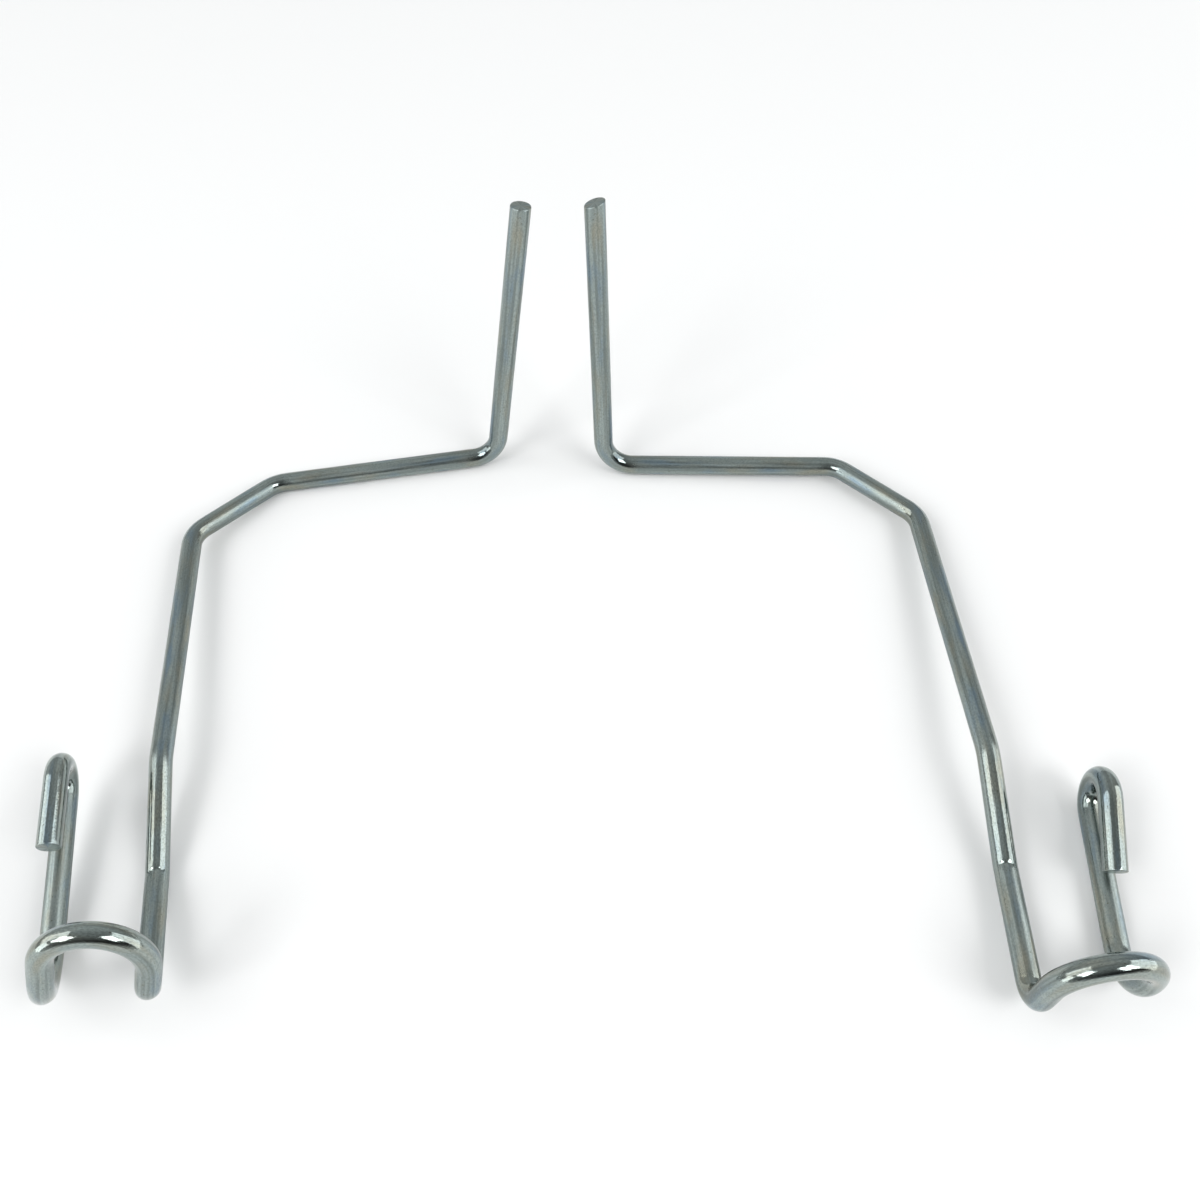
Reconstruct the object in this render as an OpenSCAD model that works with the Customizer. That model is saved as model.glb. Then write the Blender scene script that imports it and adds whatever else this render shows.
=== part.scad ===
// Pair of bent wire rods, a left one and a right one that mirror each other.
// Each rod is one length of round wire: an upright post, a bar, a cut corner, a long
// arm with a joggle, a leg that turns up into a saddle, and a second leg that curls over.
// Millimetres, +Z up, +X towards the right rod. The rods rest on z = 0.
// A bend turns the wire in one plane, and a roll first turns that plane about the wire.

/* [Wire] */
// diameter of the wire
wire_d = 8; // [4:0.5:12]
// how much thinner the wire is drawn in a bend
bend_draw = 0.06; // [0.04:0.02:0.3]
// chamfer on the cut ends
end_chamfer = 0.4; // [0.1:0.1:1.5]

/* [Straight runs] */
// post that stands up from the bar
post_run = 107.5; // [60:0.5:160]
// bar between the post and the cut corner
bar_run = 82; // [40:0.5:140]
// straight across the cut corner
corner_run = 32; // [15:0.5:60]
// long arm of the right rod
right_arm_run = 106.5; // [50:0.5:180]
// long arm of the left rod
left_arm_run = 101; // [50:0.5:180]
// slope of the joggle
joggle_run = 35.5; // [5:0.5:50]
// leg from the joggle to the saddle
leg_run = 37; // [10:0.5:80]
// side of the saddle next to the leg
saddle_up_run = 8.5; // [2:0.5:40]
// side of the left saddle next to the second leg
left_saddle_down_run = 10; // [2:0.5:40]
// second leg of the right rod
right_return_run = 46.5; // [15:0.5:90]
// second leg of the left rod
left_return_run = 49; // [15:0.5:90]
// straight end above the second leg
end_run = 23.5; // [5:0.5:40]

/* [Bends] */
// post to bar, right rod
right_post_bend = 91; // [60:1:120]
// post to bar, left rod
left_post_bend = 79; // [60:1:120]
// bar to cut corner
bar_bend = 40; // [10:1:80]
// cut corner to arm, right rod
right_arm_bend = 44; // [10:1:80]
// cut corner to arm, left rod
left_arm_bend = 49; // [10:1:80]
// arm down into the joggle
joggle_bend = 18; // [5:1:45]
// joggle back into the leg, right rod
right_leg_bend = 14; // [5:1:45]
// joggle back into the leg, left rod
left_leg_bend = 27; // [5:1:45]
// leg up into the saddle
foot_bend = 90; // [60:1:120]
// saddle, right rod
right_saddle_bend = 182; // [150:1:200]
// saddle, left rod
left_saddle_bend = 180; // [150:1:200]
// saddle to second leg, right rod
right_return_bend = 91; // [80:1:150]
// saddle to second leg, left rod
left_return_bend = 111; // [80:1:150]
// curl over the second leg, right rod
right_curl_bend = 197; // [90:1:210]
// curl over the second leg, left rod
left_curl_bend = 178; // [90:1:210]

/* [Bend radii, to the middle of the wire] */
// bends at both ends of the bar
bar_r = 12.5; // [8:0.5:30]
// cut corner to arm
arm_r = 13.5; // [6:0.5:30]
// arm down into the joggle
joggle_r = 21; // [10:0.5:60]
// sharp bend from the joggle back into the leg
leg_r = 8; // [5:0.5:60]
// leg up into the saddle
foot_r = 8; // [6:0.5:20]
// saddle
saddle_r = 15.5; // [8:0.5:40]
// saddle to second leg, right rod, where the saddle has no straight side
right_return_r = 16.5; // [6:0.5:30]
// saddle to second leg, left rod
left_return_r = 21; // [6:0.5:30]
// curl
curl_r = 8.5; // [6:0.5:20]

/* [How the rods lie] */
// turn of each rod about a vertical line
splay = 5.6; // [-20:0.1:20]
// lean of the right post towards the back
right_post_back = 9.4; // [-20:0.1:20]
// lean of the right post towards the right
right_post_side = -0.5; // [-20:0.1:20]
// lean of the left post towards the back
left_post_back = 6.2; // [-20:0.1:20]
// lean of the left post towards the right
left_post_side = 10.9; // [-20:0.1:20]
// top of the right post
right_post_top = [15.44, 127.58, 122.35];
// top of the left post
left_post_top = [-11.87, 130.92, 119.14];

/* [Hidden] */
$fn = 64;
lap = 0.1;

// the order along the wire, from the top of the post to the curled end
right_runs = [post_run, bar_run, corner_run, right_arm_run, joggle_run, leg_run,
    saddle_up_run, 0, right_return_run, end_run];
left_runs = [post_run, bar_run, corner_run, left_arm_run, joggle_run, leg_run,
    saddle_up_run, left_saddle_down_run, left_return_run, end_run];
right_bends = [right_post_bend, bar_bend, right_arm_bend, joggle_bend, right_leg_bend,
    foot_bend, right_saddle_bend, right_return_bend, right_curl_bend];
left_bends = [left_post_bend, bar_bend, left_arm_bend, joggle_bend, left_leg_bend,
    foot_bend, left_saddle_bend, left_return_bend, left_curl_bend];
right_radii = [bar_r, bar_r, arm_r, joggle_r, leg_r, foot_r, saddle_r, right_return_r, curl_r];
left_radii = [bar_r, bar_r, arm_r, joggle_r, leg_r, foot_r, saddle_r, left_return_r, curl_r];
// turn of each bend's plane from the plane of the bend before it
right_rolls = [0, 100, -7, 88, 191, -9, -84, 99, -2];
left_rolls = [0, 87, 8, 88, 192, 5, -84, 97, 8];

// straight length of wire, upwards from the origin, that laps into the bend at each end
module run(length) {
  translate([0, 0, -lap])
    cylinder(h = length + 2 * lap, d = wire_d);
}

// chamfered cut end of the wire, beyond the lap
module cut_end() {
  translate([0, 0, lap])
    cylinder(h = end_chamfer, d1 = wire_d, d2 = wire_d - 2 * end_chamfer);
}

// bend that starts upwards at the origin and turns towards +X
module bend(radius, angle) {
  translate([radius, 0, 0])
    rotate([90, 0, 180])
      rotate_extrude(angle = angle)
        translate([radius, 0])
          circle(d = wire_d - bend_draw);
}

// the wire from straight run i to its far end, one inside the next
module wire(i, runs, bends, rolls, radii) {
  run(runs[i]);
  translate([0, 0, runs[i]]) {
    if (i < len(bends))
      rotate([0, 0, rolls[i]]) {
        bend(radii[i], bends[i]);
        translate([radii[i], 0, 0])
          rotate([0, bends[i], 0])
            translate([-radii[i], 0, 0])
              wire(i + 1, runs, bends, rolls, radii);
      }
    else
      cut_end();
  }
}

module right_rod() {
  color([0.62, 0.66, 0.68])
    translate(right_post_top)
      rotate([0, 0, -splay])
        rotate([-right_post_back, right_post_side, 0])
          rotate([180, 0, 0]) {
            mirror([0, 0, 1]) cut_end();
            wire(0, right_runs, right_bends, right_rolls, right_radii);
          }
}

module left_rod() {
  color([0.62, 0.66, 0.68])
    translate(left_post_top)
      rotate([0, 0, splay])
        mirror([1, 0, 0])
          rotate([-left_post_back, -left_post_side, 0])
            rotate([180, 0, 0]) {
              mirror([0, 0, 1]) cut_end();
              wire(0, left_runs, left_bends, left_rolls, left_radii);
            }
}

right_rod();
left_rod();
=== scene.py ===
"""Looks for the pair of bent wire rods: plated wire, studio light and camera around the CAD frame."""

import math
from collections import namedtuple

import bpy
from mathutils import Matrix, Quaternion, Vector


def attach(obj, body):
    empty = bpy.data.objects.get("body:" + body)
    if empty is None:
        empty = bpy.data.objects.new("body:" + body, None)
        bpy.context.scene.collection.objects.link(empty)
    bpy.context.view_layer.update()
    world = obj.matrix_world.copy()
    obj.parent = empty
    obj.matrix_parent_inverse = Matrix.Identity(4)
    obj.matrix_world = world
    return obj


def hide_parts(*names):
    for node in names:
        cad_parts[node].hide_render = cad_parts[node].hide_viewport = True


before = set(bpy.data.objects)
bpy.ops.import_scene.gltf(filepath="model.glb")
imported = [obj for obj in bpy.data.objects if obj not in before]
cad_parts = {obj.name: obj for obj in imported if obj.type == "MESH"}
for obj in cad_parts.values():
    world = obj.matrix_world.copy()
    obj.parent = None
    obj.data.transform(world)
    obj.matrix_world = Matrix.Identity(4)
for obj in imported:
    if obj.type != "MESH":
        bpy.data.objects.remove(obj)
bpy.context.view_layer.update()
scene = bpy.context.scene
MM = 0.001


# ---------------------------------------------------------------- camera
CAMERA_AT = Vector((17.2, -240.1, 375.3)) * MM
CAMERA_RIGHT = Vector((0.99905, -0.02505, -0.03558))
CAMERA_UP = Vector((0.04129, 0.80384, 0.59341))
SENSOR_MM = 36.0
LENS_MM = 34.76

camera_data = bpy.data.cameras.new("camera")
camera_data.sensor_width = SENSOR_MM
camera_data.lens = LENS_MM
camera_data.clip_start = 0.01
camera = bpy.data.objects.new("camera", camera_data)
scene.collection.objects.link(camera)
back = CAMERA_RIGHT.cross(CAMERA_UP)
camera.matrix_world = Matrix(
    (
        (CAMERA_RIGHT.x, CAMERA_UP.x, back.x, CAMERA_AT.x),
        (CAMERA_RIGHT.y, CAMERA_UP.y, back.y, CAMERA_AT.y),
        (CAMERA_RIGHT.z, CAMERA_UP.z, back.z, CAMERA_AT.z),
        (0.0, 0.0, 0.0, 1.0),
    )
)
scene.camera = camera


# ---------------------------------------------------------------- the wire's bends
# The numbers of the CAD part, in millimetres and degrees, from the top of the post to the curled
# end. A roll turns the plane of the next bend about the wire. Only the slant isn't in the CAD part:
# it is how far the cut at the top of the post drops across the wire, and the side of the wire where
# it is highest, in radians round from the side that the bar is on.
WIRE_R = 4.0
RODS = {
    "right": {
        "runs": (107.5, 82, 32, 106.5, 35.5, 37, 8.5, 0, 46.5, 23.5),
        "bends": (91, 40, 44, 18, 14, 90, 182, 91, 197),
        "rolls": (0, 100, -7, 88, 191, -9, -84, 99, -2),
        "radii": (12.5, 12.5, 13.5, 21, 8, 8, 15.5, 16.5, 8.5),
        "top": (15.44, 127.58, 122.35),
        "turn": -5.6,
        "lean": (-9.4, -0.5),
        "slant": (2.2, 0.0),
        "hand": 1,
    },
    "left": {
        "runs": (107.5, 82, 32, 101, 35.5, 37, 8.5, 10, 49, 23.5),
        "bends": (79, 40, 49, 18, 27, 90, 180, 111, 178),
        "rolls": (0, 87, 8, 88, 192, 5, -84, 97, 8),
        "radii": (12.5, 12.5, 13.5, 21, 8, 8, 15.5, 21, 8.5),
        "top": (-11.87, 130.92, 119.14),
        "turn": 5.6,
        "lean": (-6.2, -10.9),
        "slant": (0.3, 2.0),
        "hand": -1,
    },
}
# places in the lists above: the joggle's run, and the sharp bend that ends it
JOGGLE_RUN = 4
SHARP_BEND = 4

# about this far between stations: millimetres on a straight, degrees in a bend
RUN_STEP = 1.2
BEND_STEP = 4.0
# stations closer than this many millimetres are one station
LEAST_STEP = 0.02

Station = namedtuple("Station", "place along carried length strength bend_side")


def turn(axis, degrees):
    return Quaternion(axis, math.radians(degrees))


def stations(rod):
    """Stations along the wire's middle, in the wire's own frame.

    length is the wire's length up to the station. carried is the ring's own side: it only follows
    the wire, so that the skin never twists. strength is how hard the wire is bent, towards bend_side.
    """
    place, along, side = Vector((0, 0, 0)), Vector((0, 0, 1)), Vector((1, 0, 0))
    carried = side.copy()
    length = 0.0
    found = []
    for i, run in enumerate(rod["runs"]):
        steps = max(2, round(run / RUN_STEP))
        for k in range(steps + 1):
            gone = run * k / steps
            found.append(Station(place + along * gone, along, carried, length + gone, 0.0, side))
        place = place + along * run
        length += run
        if i == len(rod["bends"]):
            break
        side = turn(along, rod["rolls"][i]) @ side
        radius, angle = rod["radii"][i], rod["bends"][i]
        axis = along.cross(side)
        centre = place + side * radius
        start = place - centre
        arc = radius * math.radians(angle)
        steps = max(4, round(angle / BEND_STEP))
        for k in range(1, steps + 1):
            bent = turn(axis, angle * k / steps)
            strength = math.sin(math.pi * k / steps) ** 0.5 * WIRE_R / radius if k < steps else 0.0
            at = length + arc * k / steps
            found.append(
                Station(centre + bent @ start, bent @ along, bent @ carried, at, strength, bent @ side)
            )
        place, along, carried, side = centre + bent @ start, bent @ along, bent @ carried, bent @ side
        length += arc
    apart = found[:1]
    for station in found[1:]:
        if station.length - apart[-1].length > LEAST_STEP:
            apart.append(station)
    return apart


def placed(rod, v, is_point):
    """From the wire's own frame to the object's frame, in millimetres."""
    v = turn((1, 0, 0), 180) @ v
    v = turn((0, 1, 0), rod["lean"][1]) @ (turn((1, 0, 0), rod["lean"][0]) @ v)
    v = Vector((v.x * rod["hand"], v.y, v.z))
    v = turn((0, 0, 1), rod["turn"]) @ v
    return v + Vector(rod["top"]) if is_point else v


def nick_length(rod):
    """Length of wire from the top of the post to the middle of the sharp bend."""
    arcs = [radius * math.radians(bend) for radius, bend in zip(rod["radii"], rod["bends"])]
    return sum(rod["runs"][: SHARP_BEND + 1]) + sum(arcs[:SHARP_BEND]) + arcs[SHARP_BEND] / 2


# ---------------------------------------------------------------- the wire's skin
RING = 56
# the skin's lengthwise coordinate is the length of wire over this
WIRE_LENGTH = 560.0
# how far each ring of a cut end is in from the side of the wire, and how far beyond its end
END_CAP = ((0.02, 0.18), (0.12, 0.36), (0.34, 0.47), (0.7, 0.5), (2.2, 0.5))
# the caps start this much thinner than the wire
CAP_DRAW = 0.02
# how far down the post the slanting cut bends the rings
SLANT_FADE = 8.0
# how much thinner the wire gets, in the bend's plane, in a bend of its own radius
FLATTENING = 0.16
# slow waviness of the skin: its half height, and how fast it turns along the wire
WAVE = 0.012
WAVE_ALONG = (0.31, 0.083)
# nick across the top of the wire at the sharp bend
NICK_DEPTH = 0.20
NICK_WIDTH = 1.2
# stations on each side over which the polish fades
POLISH_FADE = 3


def skin_radius(rod, out, station, nick_at):
    """Distance of the skin from the wire's middle: flatter in a bend, slightly wavy, nicked on top."""
    toward = out.dot(station.bend_side)
    angle = math.atan2(out.y, out.x)
    fast, slow = (station.length * per_mm for per_mm in WAVE_ALONG)
    wave = math.sin(fast + 2.0 * angle) * math.cos(slow - angle)
    up = max(0.0, placed(rod, out, False).z)
    nick = up**4 * math.exp(-(((station.length - nick_at) / NICK_WIDTH) ** 2))
    flat = FLATTENING * station.strength * toward * toward
    return WIRE_R - flat - WAVE * (1.0 + wave) - NICK_DEPTH * nick


def slant_drop(rod, angle, from_end, reach=1.0):
    """How far the slanting cut drops below its high side, fading out down the wire."""
    depth, side = rod["slant"]
    fade = max(0.0, 1.0 - from_end / SLANT_FADE)
    return depth * (0.5 - 0.5 * reach * math.cos(angle - side)) * fade


def polish_of(rod, wire, nick_at):
    """How worn smooth each station is: 1 in the bends, the joggle and the straight end, else 0."""
    total = wire[-1].length
    smooth = ((nick_at - rod["runs"][JOGGLE_RUN], nick_at), (total - rod["runs"][-1], total))
    worked = [
        1.0 if s.strength > 0 or any(low < s.length < high for low, high in smooth) else 0.0 for s in wire
    ]
    near = [worked[max(0, i - POLISH_FADE) : i + POLISH_FADE + 1] for i in range(len(wire))]
    return [sum(values) / len(values) for values in near]


class Skin:
    """Mesh of one rod's skin, built ring by ring round the wire."""

    def __init__(self, rod):
        self.rod = rod
        self.verts, self.faces, self.uvs = [], [], []

    def ring(self, station, radius_of, drop):
        """One ring of points, each set along the wire by drop(angle). Gives its first point's number."""
        first = len(self.verts)
        other = station.along.cross(station.carried)
        for j in range(RING):
            angle = 2 * math.pi * j / RING
            out = station.carried * math.cos(angle) + other * math.sin(angle)
            point = station.place + out * radius_of(out) + station.along * drop(angle)
            self.verts.append(placed(self.rod, point, True) * MM)
        return first

    def band(self, low, high, low_v, high_v):
        """Faces between two rings."""
        for j in range(RING):
            k = (j + 1) % RING
            u0, u1 = j / RING, (j + 1) / RING
            self.faces.append((low + j, low + k, high + k, high + j))
            self.uvs.append(((u0, low_v), (u1, low_v), (u1, high_v), (u0, high_v)))

    def cap(self, station, first, sign):
        """Cut end beyond a ring: a worn rim, then the flat face. sign is -1 at the top of the post."""
        v = station.length / WIRE_LENGTH
        faces = []
        previous = first
        for shrink, beyond in END_CAP:
            reach = 1.0 - shrink / WIRE_R
            base = self.ring(
                station,
                lambda out: WIRE_R - CAP_DRAW - shrink,
                lambda angle: sign * beyond + (slant_drop(self.rod, angle, 0.0, reach) if sign < 0 else 0.0),
            )
            for j in range(RING):
                k = (j + 1) % RING
                faces.append((j, (previous + j, previous + k, base + k, base + j)))
            previous = base
        middle = sign * END_CAP[-1][1] + (self.rod["slant"][0] / 2 if sign < 0 else 0.0)
        tip = len(self.verts)
        self.verts.append(placed(self.rod, station.place + station.along * middle, True) * MM)
        for j in range(RING):
            faces.append((j, (previous + j, previous + (j + 1) % RING, tip)))
        for j, face in faces:
            self.faces.append(face if sign > 0 else face[::-1])
            self.uvs.append(((j / RING, v),) * len(face))

    def mesh(self, name, polish):
        """Blender's mesh of the skin. The left rod is mirrored, so its faces are turned over."""
        turned = slice(None, None, self.rod["hand"])
        mesh = bpy.data.meshes.new(name)
        mesh.from_pydata([tuple(v) for v in self.verts], [], [face[turned] for face in self.faces])
        layer = mesh.uv_layers.new(name="wire")
        for loop, uv in zip(layer.data, [uv for face in self.uvs for uv in face[turned]]):
            loop.uv = uv
        for p in mesh.polygons:
            p.use_smooth = True
        mesh.update()
        mesh.attributes.new("polish", "FLOAT", "POINT").data.foreach_set("value", polish)
        return mesh


def build_rod(name, rod):
    wire = stations(rod)
    nick_at = nick_length(rod)
    skin = Skin(rod)
    rings = [
        skin.ring(
            station,
            lambda out: skin_radius(rod, out, station, nick_at),
            lambda angle: slant_drop(rod, angle, station.length),
        )
        for station in wire
    ]
    for i in range(len(wire) - 1):
        skin.band(rings[i], rings[i + 1], wire[i].length / WIRE_LENGTH, wire[i + 1].length / WIRE_LENGTH)
    skin.cap(wire[0], rings[0], -1.0)
    skin.cap(wire[-1], rings[-1], 1.0)
    polish = [value for value in polish_of(rod, wire, nick_at) for _ in range(RING)]
    polish.extend([0.0] * (len(skin.verts) - len(polish)))
    obj = bpy.data.objects.new(name, skin.mesh(name, polish))
    scene.collection.objects.link(obj)
    return obj


# ---------------------------------------------------------------- bright zinc plate
PLATE_DARK = (0.21, 0.245, 0.236, 1.0)
PLATE_LIGHT = (0.355, 0.410, 0.394, 1.0)
BRONZE = (0.34, 0.32, 0.24, 1.0)
BLUE = (0.17, 0.26, 0.35, 1.0)
DULL_GRAIN = (0.12, 0.14, 0.135, 1.0)
BROWN_SPECK = (0.085, 0.070, 0.038, 1.0)
# roughness of the drawn straights, and what is left of it where the wire is worn smooth
ROUGHNESS = (0.26, 0.42)
POLISHED = 0.28
# height and strength of the slow waves and of the fine drawn lines
SLOW_WAVES = (0.06 * MM, 0.8)
DRAWN_LINES = (0.03 * MM, 0.7)


def map_range(tree, value, come_from, go_to, smooth=False):
    """Map Range node that takes value from one pair of ends to the other."""
    node = tree.nodes.new("ShaderNodeMapRange")
    if smooth:
        node.interpolation_type = "SMOOTHSTEP"
    tree.links.new(value, node.inputs["Value"])
    for name, number in zip(("From Min", "From Max", "To Min", "To Max"), (*come_from, *go_to)):
        node.inputs[name].default_value = number
    return node.outputs[0]


def math_node(tree, operation, a, b=None):
    """Math node on sockets or plain numbers."""
    node = tree.nodes.new("ShaderNodeMath")
    node.operation = operation
    for socket, value in zip(node.inputs, (a, b)):
        if isinstance(value, (int, float)):
            socket.default_value = value
        elif value is not None:
            tree.links.new(value, socket)
    return node.outputs[0]


def zinc():
    mat = bpy.data.materials.new("zinc_plate")
    mat.use_nodes = True
    tree = mat.node_tree
    nodes, links = tree.nodes, tree.links
    bsdf = nodes["Principled BSDF"]
    bsdf.inputs["Metallic"].default_value = 1.0

    # place on the skin in millimetres: round the wire in x and y, along it in z, so no seam shows
    uv = nodes.new("ShaderNodeUVMap")
    uv.uv_map = "wire"
    split = nodes.new("ShaderNodeSeparateXYZ")
    links.new(uv.outputs[0], split.inputs[0])
    around = math_node(tree, "MULTIPLY", split.outputs["X"], 2 * math.pi)
    skin = nodes.new("ShaderNodeCombineXYZ")
    for socket, operation in zip(skin.inputs, ("COSINE", "SINE")):
        links.new(math_node(tree, "MULTIPLY", math_node(tree, operation, around), WIRE_R), socket)
    links.new(math_node(tree, "MULTIPLY", split.outputs["Y"], WIRE_LENGTH), skin.inputs["Z"])

    def noise(across, along, detail):
        """Noise with spots of the given size round the wire and along it, in millimetres."""
        scale = nodes.new("ShaderNodeVectorMath")
        scale.operation = "MULTIPLY"
        links.new(skin.outputs[0], scale.inputs[0])
        scale.inputs[1].default_value = (1 / across, 1 / across, 1 / along)
        tex = nodes.new("ShaderNodeTexNoise")
        links.new(scale.outputs[0], tex.inputs["Vector"])
        tex.inputs["Scale"].default_value = 1.0
        tex.inputs["Detail"].default_value = detail
        return tex.outputs["Fac"]

    def mix(factor, a, b):
        node = nodes.new("ShaderNodeMix")
        node.data_type = "RGBA"
        for name, value in (("Factor", factor), ("A", a), ("B", b)):
            if isinstance(value, tuple):
                node.inputs[name].default_value = value
            else:
                links.new(value, node.inputs[name])
        return node.outputs["Result"]

    def bump(height, size, normal=None):
        node = nodes.new("ShaderNodeBump")
        node.inputs["Distance"].default_value, node.inputs["Strength"].default_value = size
        links.new(height, node.inputs["Height"])
        if normal is not None:
            links.new(normal, node.inputs["Normal"])
        return node.outputs[0]

    # broad drawing streaks, a drift from bronze to blue, dull grain and brown specks
    streak = noise(across=1.5, along=60.0, detail=2.0)
    fine = noise(across=0.35, along=26.0, detail=2.0)
    drift = noise(across=5.0, along=22.0, detail=3.0)
    speck = noise(across=0.9, along=1.1, detail=1.0)
    grain = noise(across=0.5, along=0.8, detail=2.0)
    colour = mix(map_range(tree, streak, (0.36, 0.62), (0.0, 1.0)), PLATE_DARK, PLATE_LIGHT)
    for amount, come_from, go_to, tint in (
        (drift, (0.52, 0.70), (0.0, 0.60), BRONZE),
        (drift, (0.46, 0.30), (0.0, 0.60), BLUE),
        (grain, (0.35, 0.60), (0.35, 0.0), DULL_GRAIN),
        (speck, (0.735, 0.765), (0.0, 0.55), BROWN_SPECK),
    ):
        colour = mix(map_range(tree, amount, come_from, go_to), colour, tint)
    links.new(colour, bsdf.inputs["Base Color"])

    # the bends, the joggle and the straight end are smoother than the other straights
    polish = nodes.new("ShaderNodeAttribute")
    polish.attribute_name = "polish"
    rough = map_range(tree, fine, (0.3, 0.7), ROUGHNESS)
    worn = map_range(tree, polish.outputs["Fac"], (0.0, 1.0), (1.0, POLISHED))
    links.new(math_node(tree, "MULTIPLY", rough, worn), bsdf.inputs["Roughness"])

    # fine drawn lines over slow waves in the skin
    waves = bump(noise(across=1.9, along=4.5, detail=3.0), SLOW_WAVES)
    lines = bump(math_node(tree, "ADD", fine, grain), DRAWN_LINES, waves)
    links.new(lines, bsdf.inputs["Normal"])
    return mat


plate = zinc()
for side in ("left", "right"):
    piece = build_rod(f"{side}_wire", RODS[side])
    piece.data.materials.append(plate)
    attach(piece, side)
    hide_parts(f"{side}_rod")


# ---------------------------------------------------------------- floor and light
FLOOR_SIZE = 8.0
FLOOR_GREY = (0.92, 0.92, 0.92, 1.0)
LAMP_DISTANCE = 3.5


def floor_material():
    mat = bpy.data.materials.new("floor")
    mat.use_nodes = True
    bsdf = mat.node_tree.nodes["Principled BSDF"]
    bsdf.inputs["Base Color"].default_value = FLOOR_GREY
    bsdf.inputs["Roughness"].default_value = 0.9
    bsdf.inputs["Specular IOR Level"].default_value = 0.1
    return mat


bpy.ops.mesh.primitive_plane_add(size=FLOOR_SIZE, location=(0, 0, 0))
floor = bpy.context.object
floor.name = "floor"
floor.data.materials.append(floor_material())


def softbox(name, towards, size, radiance):
    """Rectangle of light seen from the object in one direction, with the brightness it shows there."""
    data = bpy.data.lights.new(name, "AREA")
    data.shape = "RECTANGLE"
    data.size, data.size_y = size
    data.energy = radiance * math.pi * size[0] * size[1]
    lamp = bpy.data.objects.new(name, data)
    lamp.location = Vector(towards).normalized() * LAMP_DISTANCE
    lamp.rotation_euler = (-lamp.location).to_track_quat("-Z", "Y").to_euler()
    scene.collection.objects.link(lamp)


softbox("right_box", (0.898, -0.047, 0.438), (3.2, 3.4), 1.7)
softbox("left_box", (-0.788, 0.028, 0.616), (1.9, 3.1), 1.6)
softbox("left_low", (-0.887, -0.413, 0.208), (1.5, 1.3), 2.4)
softbox("right_key", (0.552, -0.497, 0.669), (1.6, 1.5), 5.4)
softbox("left_key", (-0.552, -0.497, 0.669), (1.6, 1.5), 5.4)


# ---------------------------------------------------------------- the room
# pale round the horizon, behind and above, dim on the side of the camera
PALE_TOWARDS = (-0.35, 0.80, 0.49)
DIMMEST_AT = -0.6
ROOM_DIM = 0.04
ROOM_PALE = 0.66
HORIZON = 0.62
HORIZON_TOP = 0.3
ROOM_COLOUR = (0.97, 1.0, 1.0, 1.0)

world = bpy.data.worlds.new("world")
scene.world = world
world.use_nodes = True
room = world.node_tree
direction = room.nodes.new("ShaderNodeTexCoord").outputs["Generated"]
facing = room.nodes.new("ShaderNodeVectorMath")
facing.operation = "DOT_PRODUCT"
room.links.new(direction, facing.inputs[0])
facing.inputs[1].default_value = PALE_TOWARDS
height = room.nodes.new("ShaderNodeSeparateXYZ")
room.links.new(direction, height.inputs[0])
slope = map_range(room, facing.outputs["Value"], (DIMMEST_AT, 1.0), (ROOM_DIM, ROOM_PALE))
horizon = map_range(room, height.outputs["Z"], (0.0, HORIZON_TOP), (HORIZON, 0.0), smooth=True)
background = room.nodes["Background"]
background.inputs["Color"].default_value = ROOM_COLOUR
room.links.new(math_node(room, "MAXIMUM", slope, horizon), background.inputs["Strength"])

scene.view_settings.view_transform = "Standard"
scene.view_settings.look = "None"
scene.view_settings.exposure = 0.0
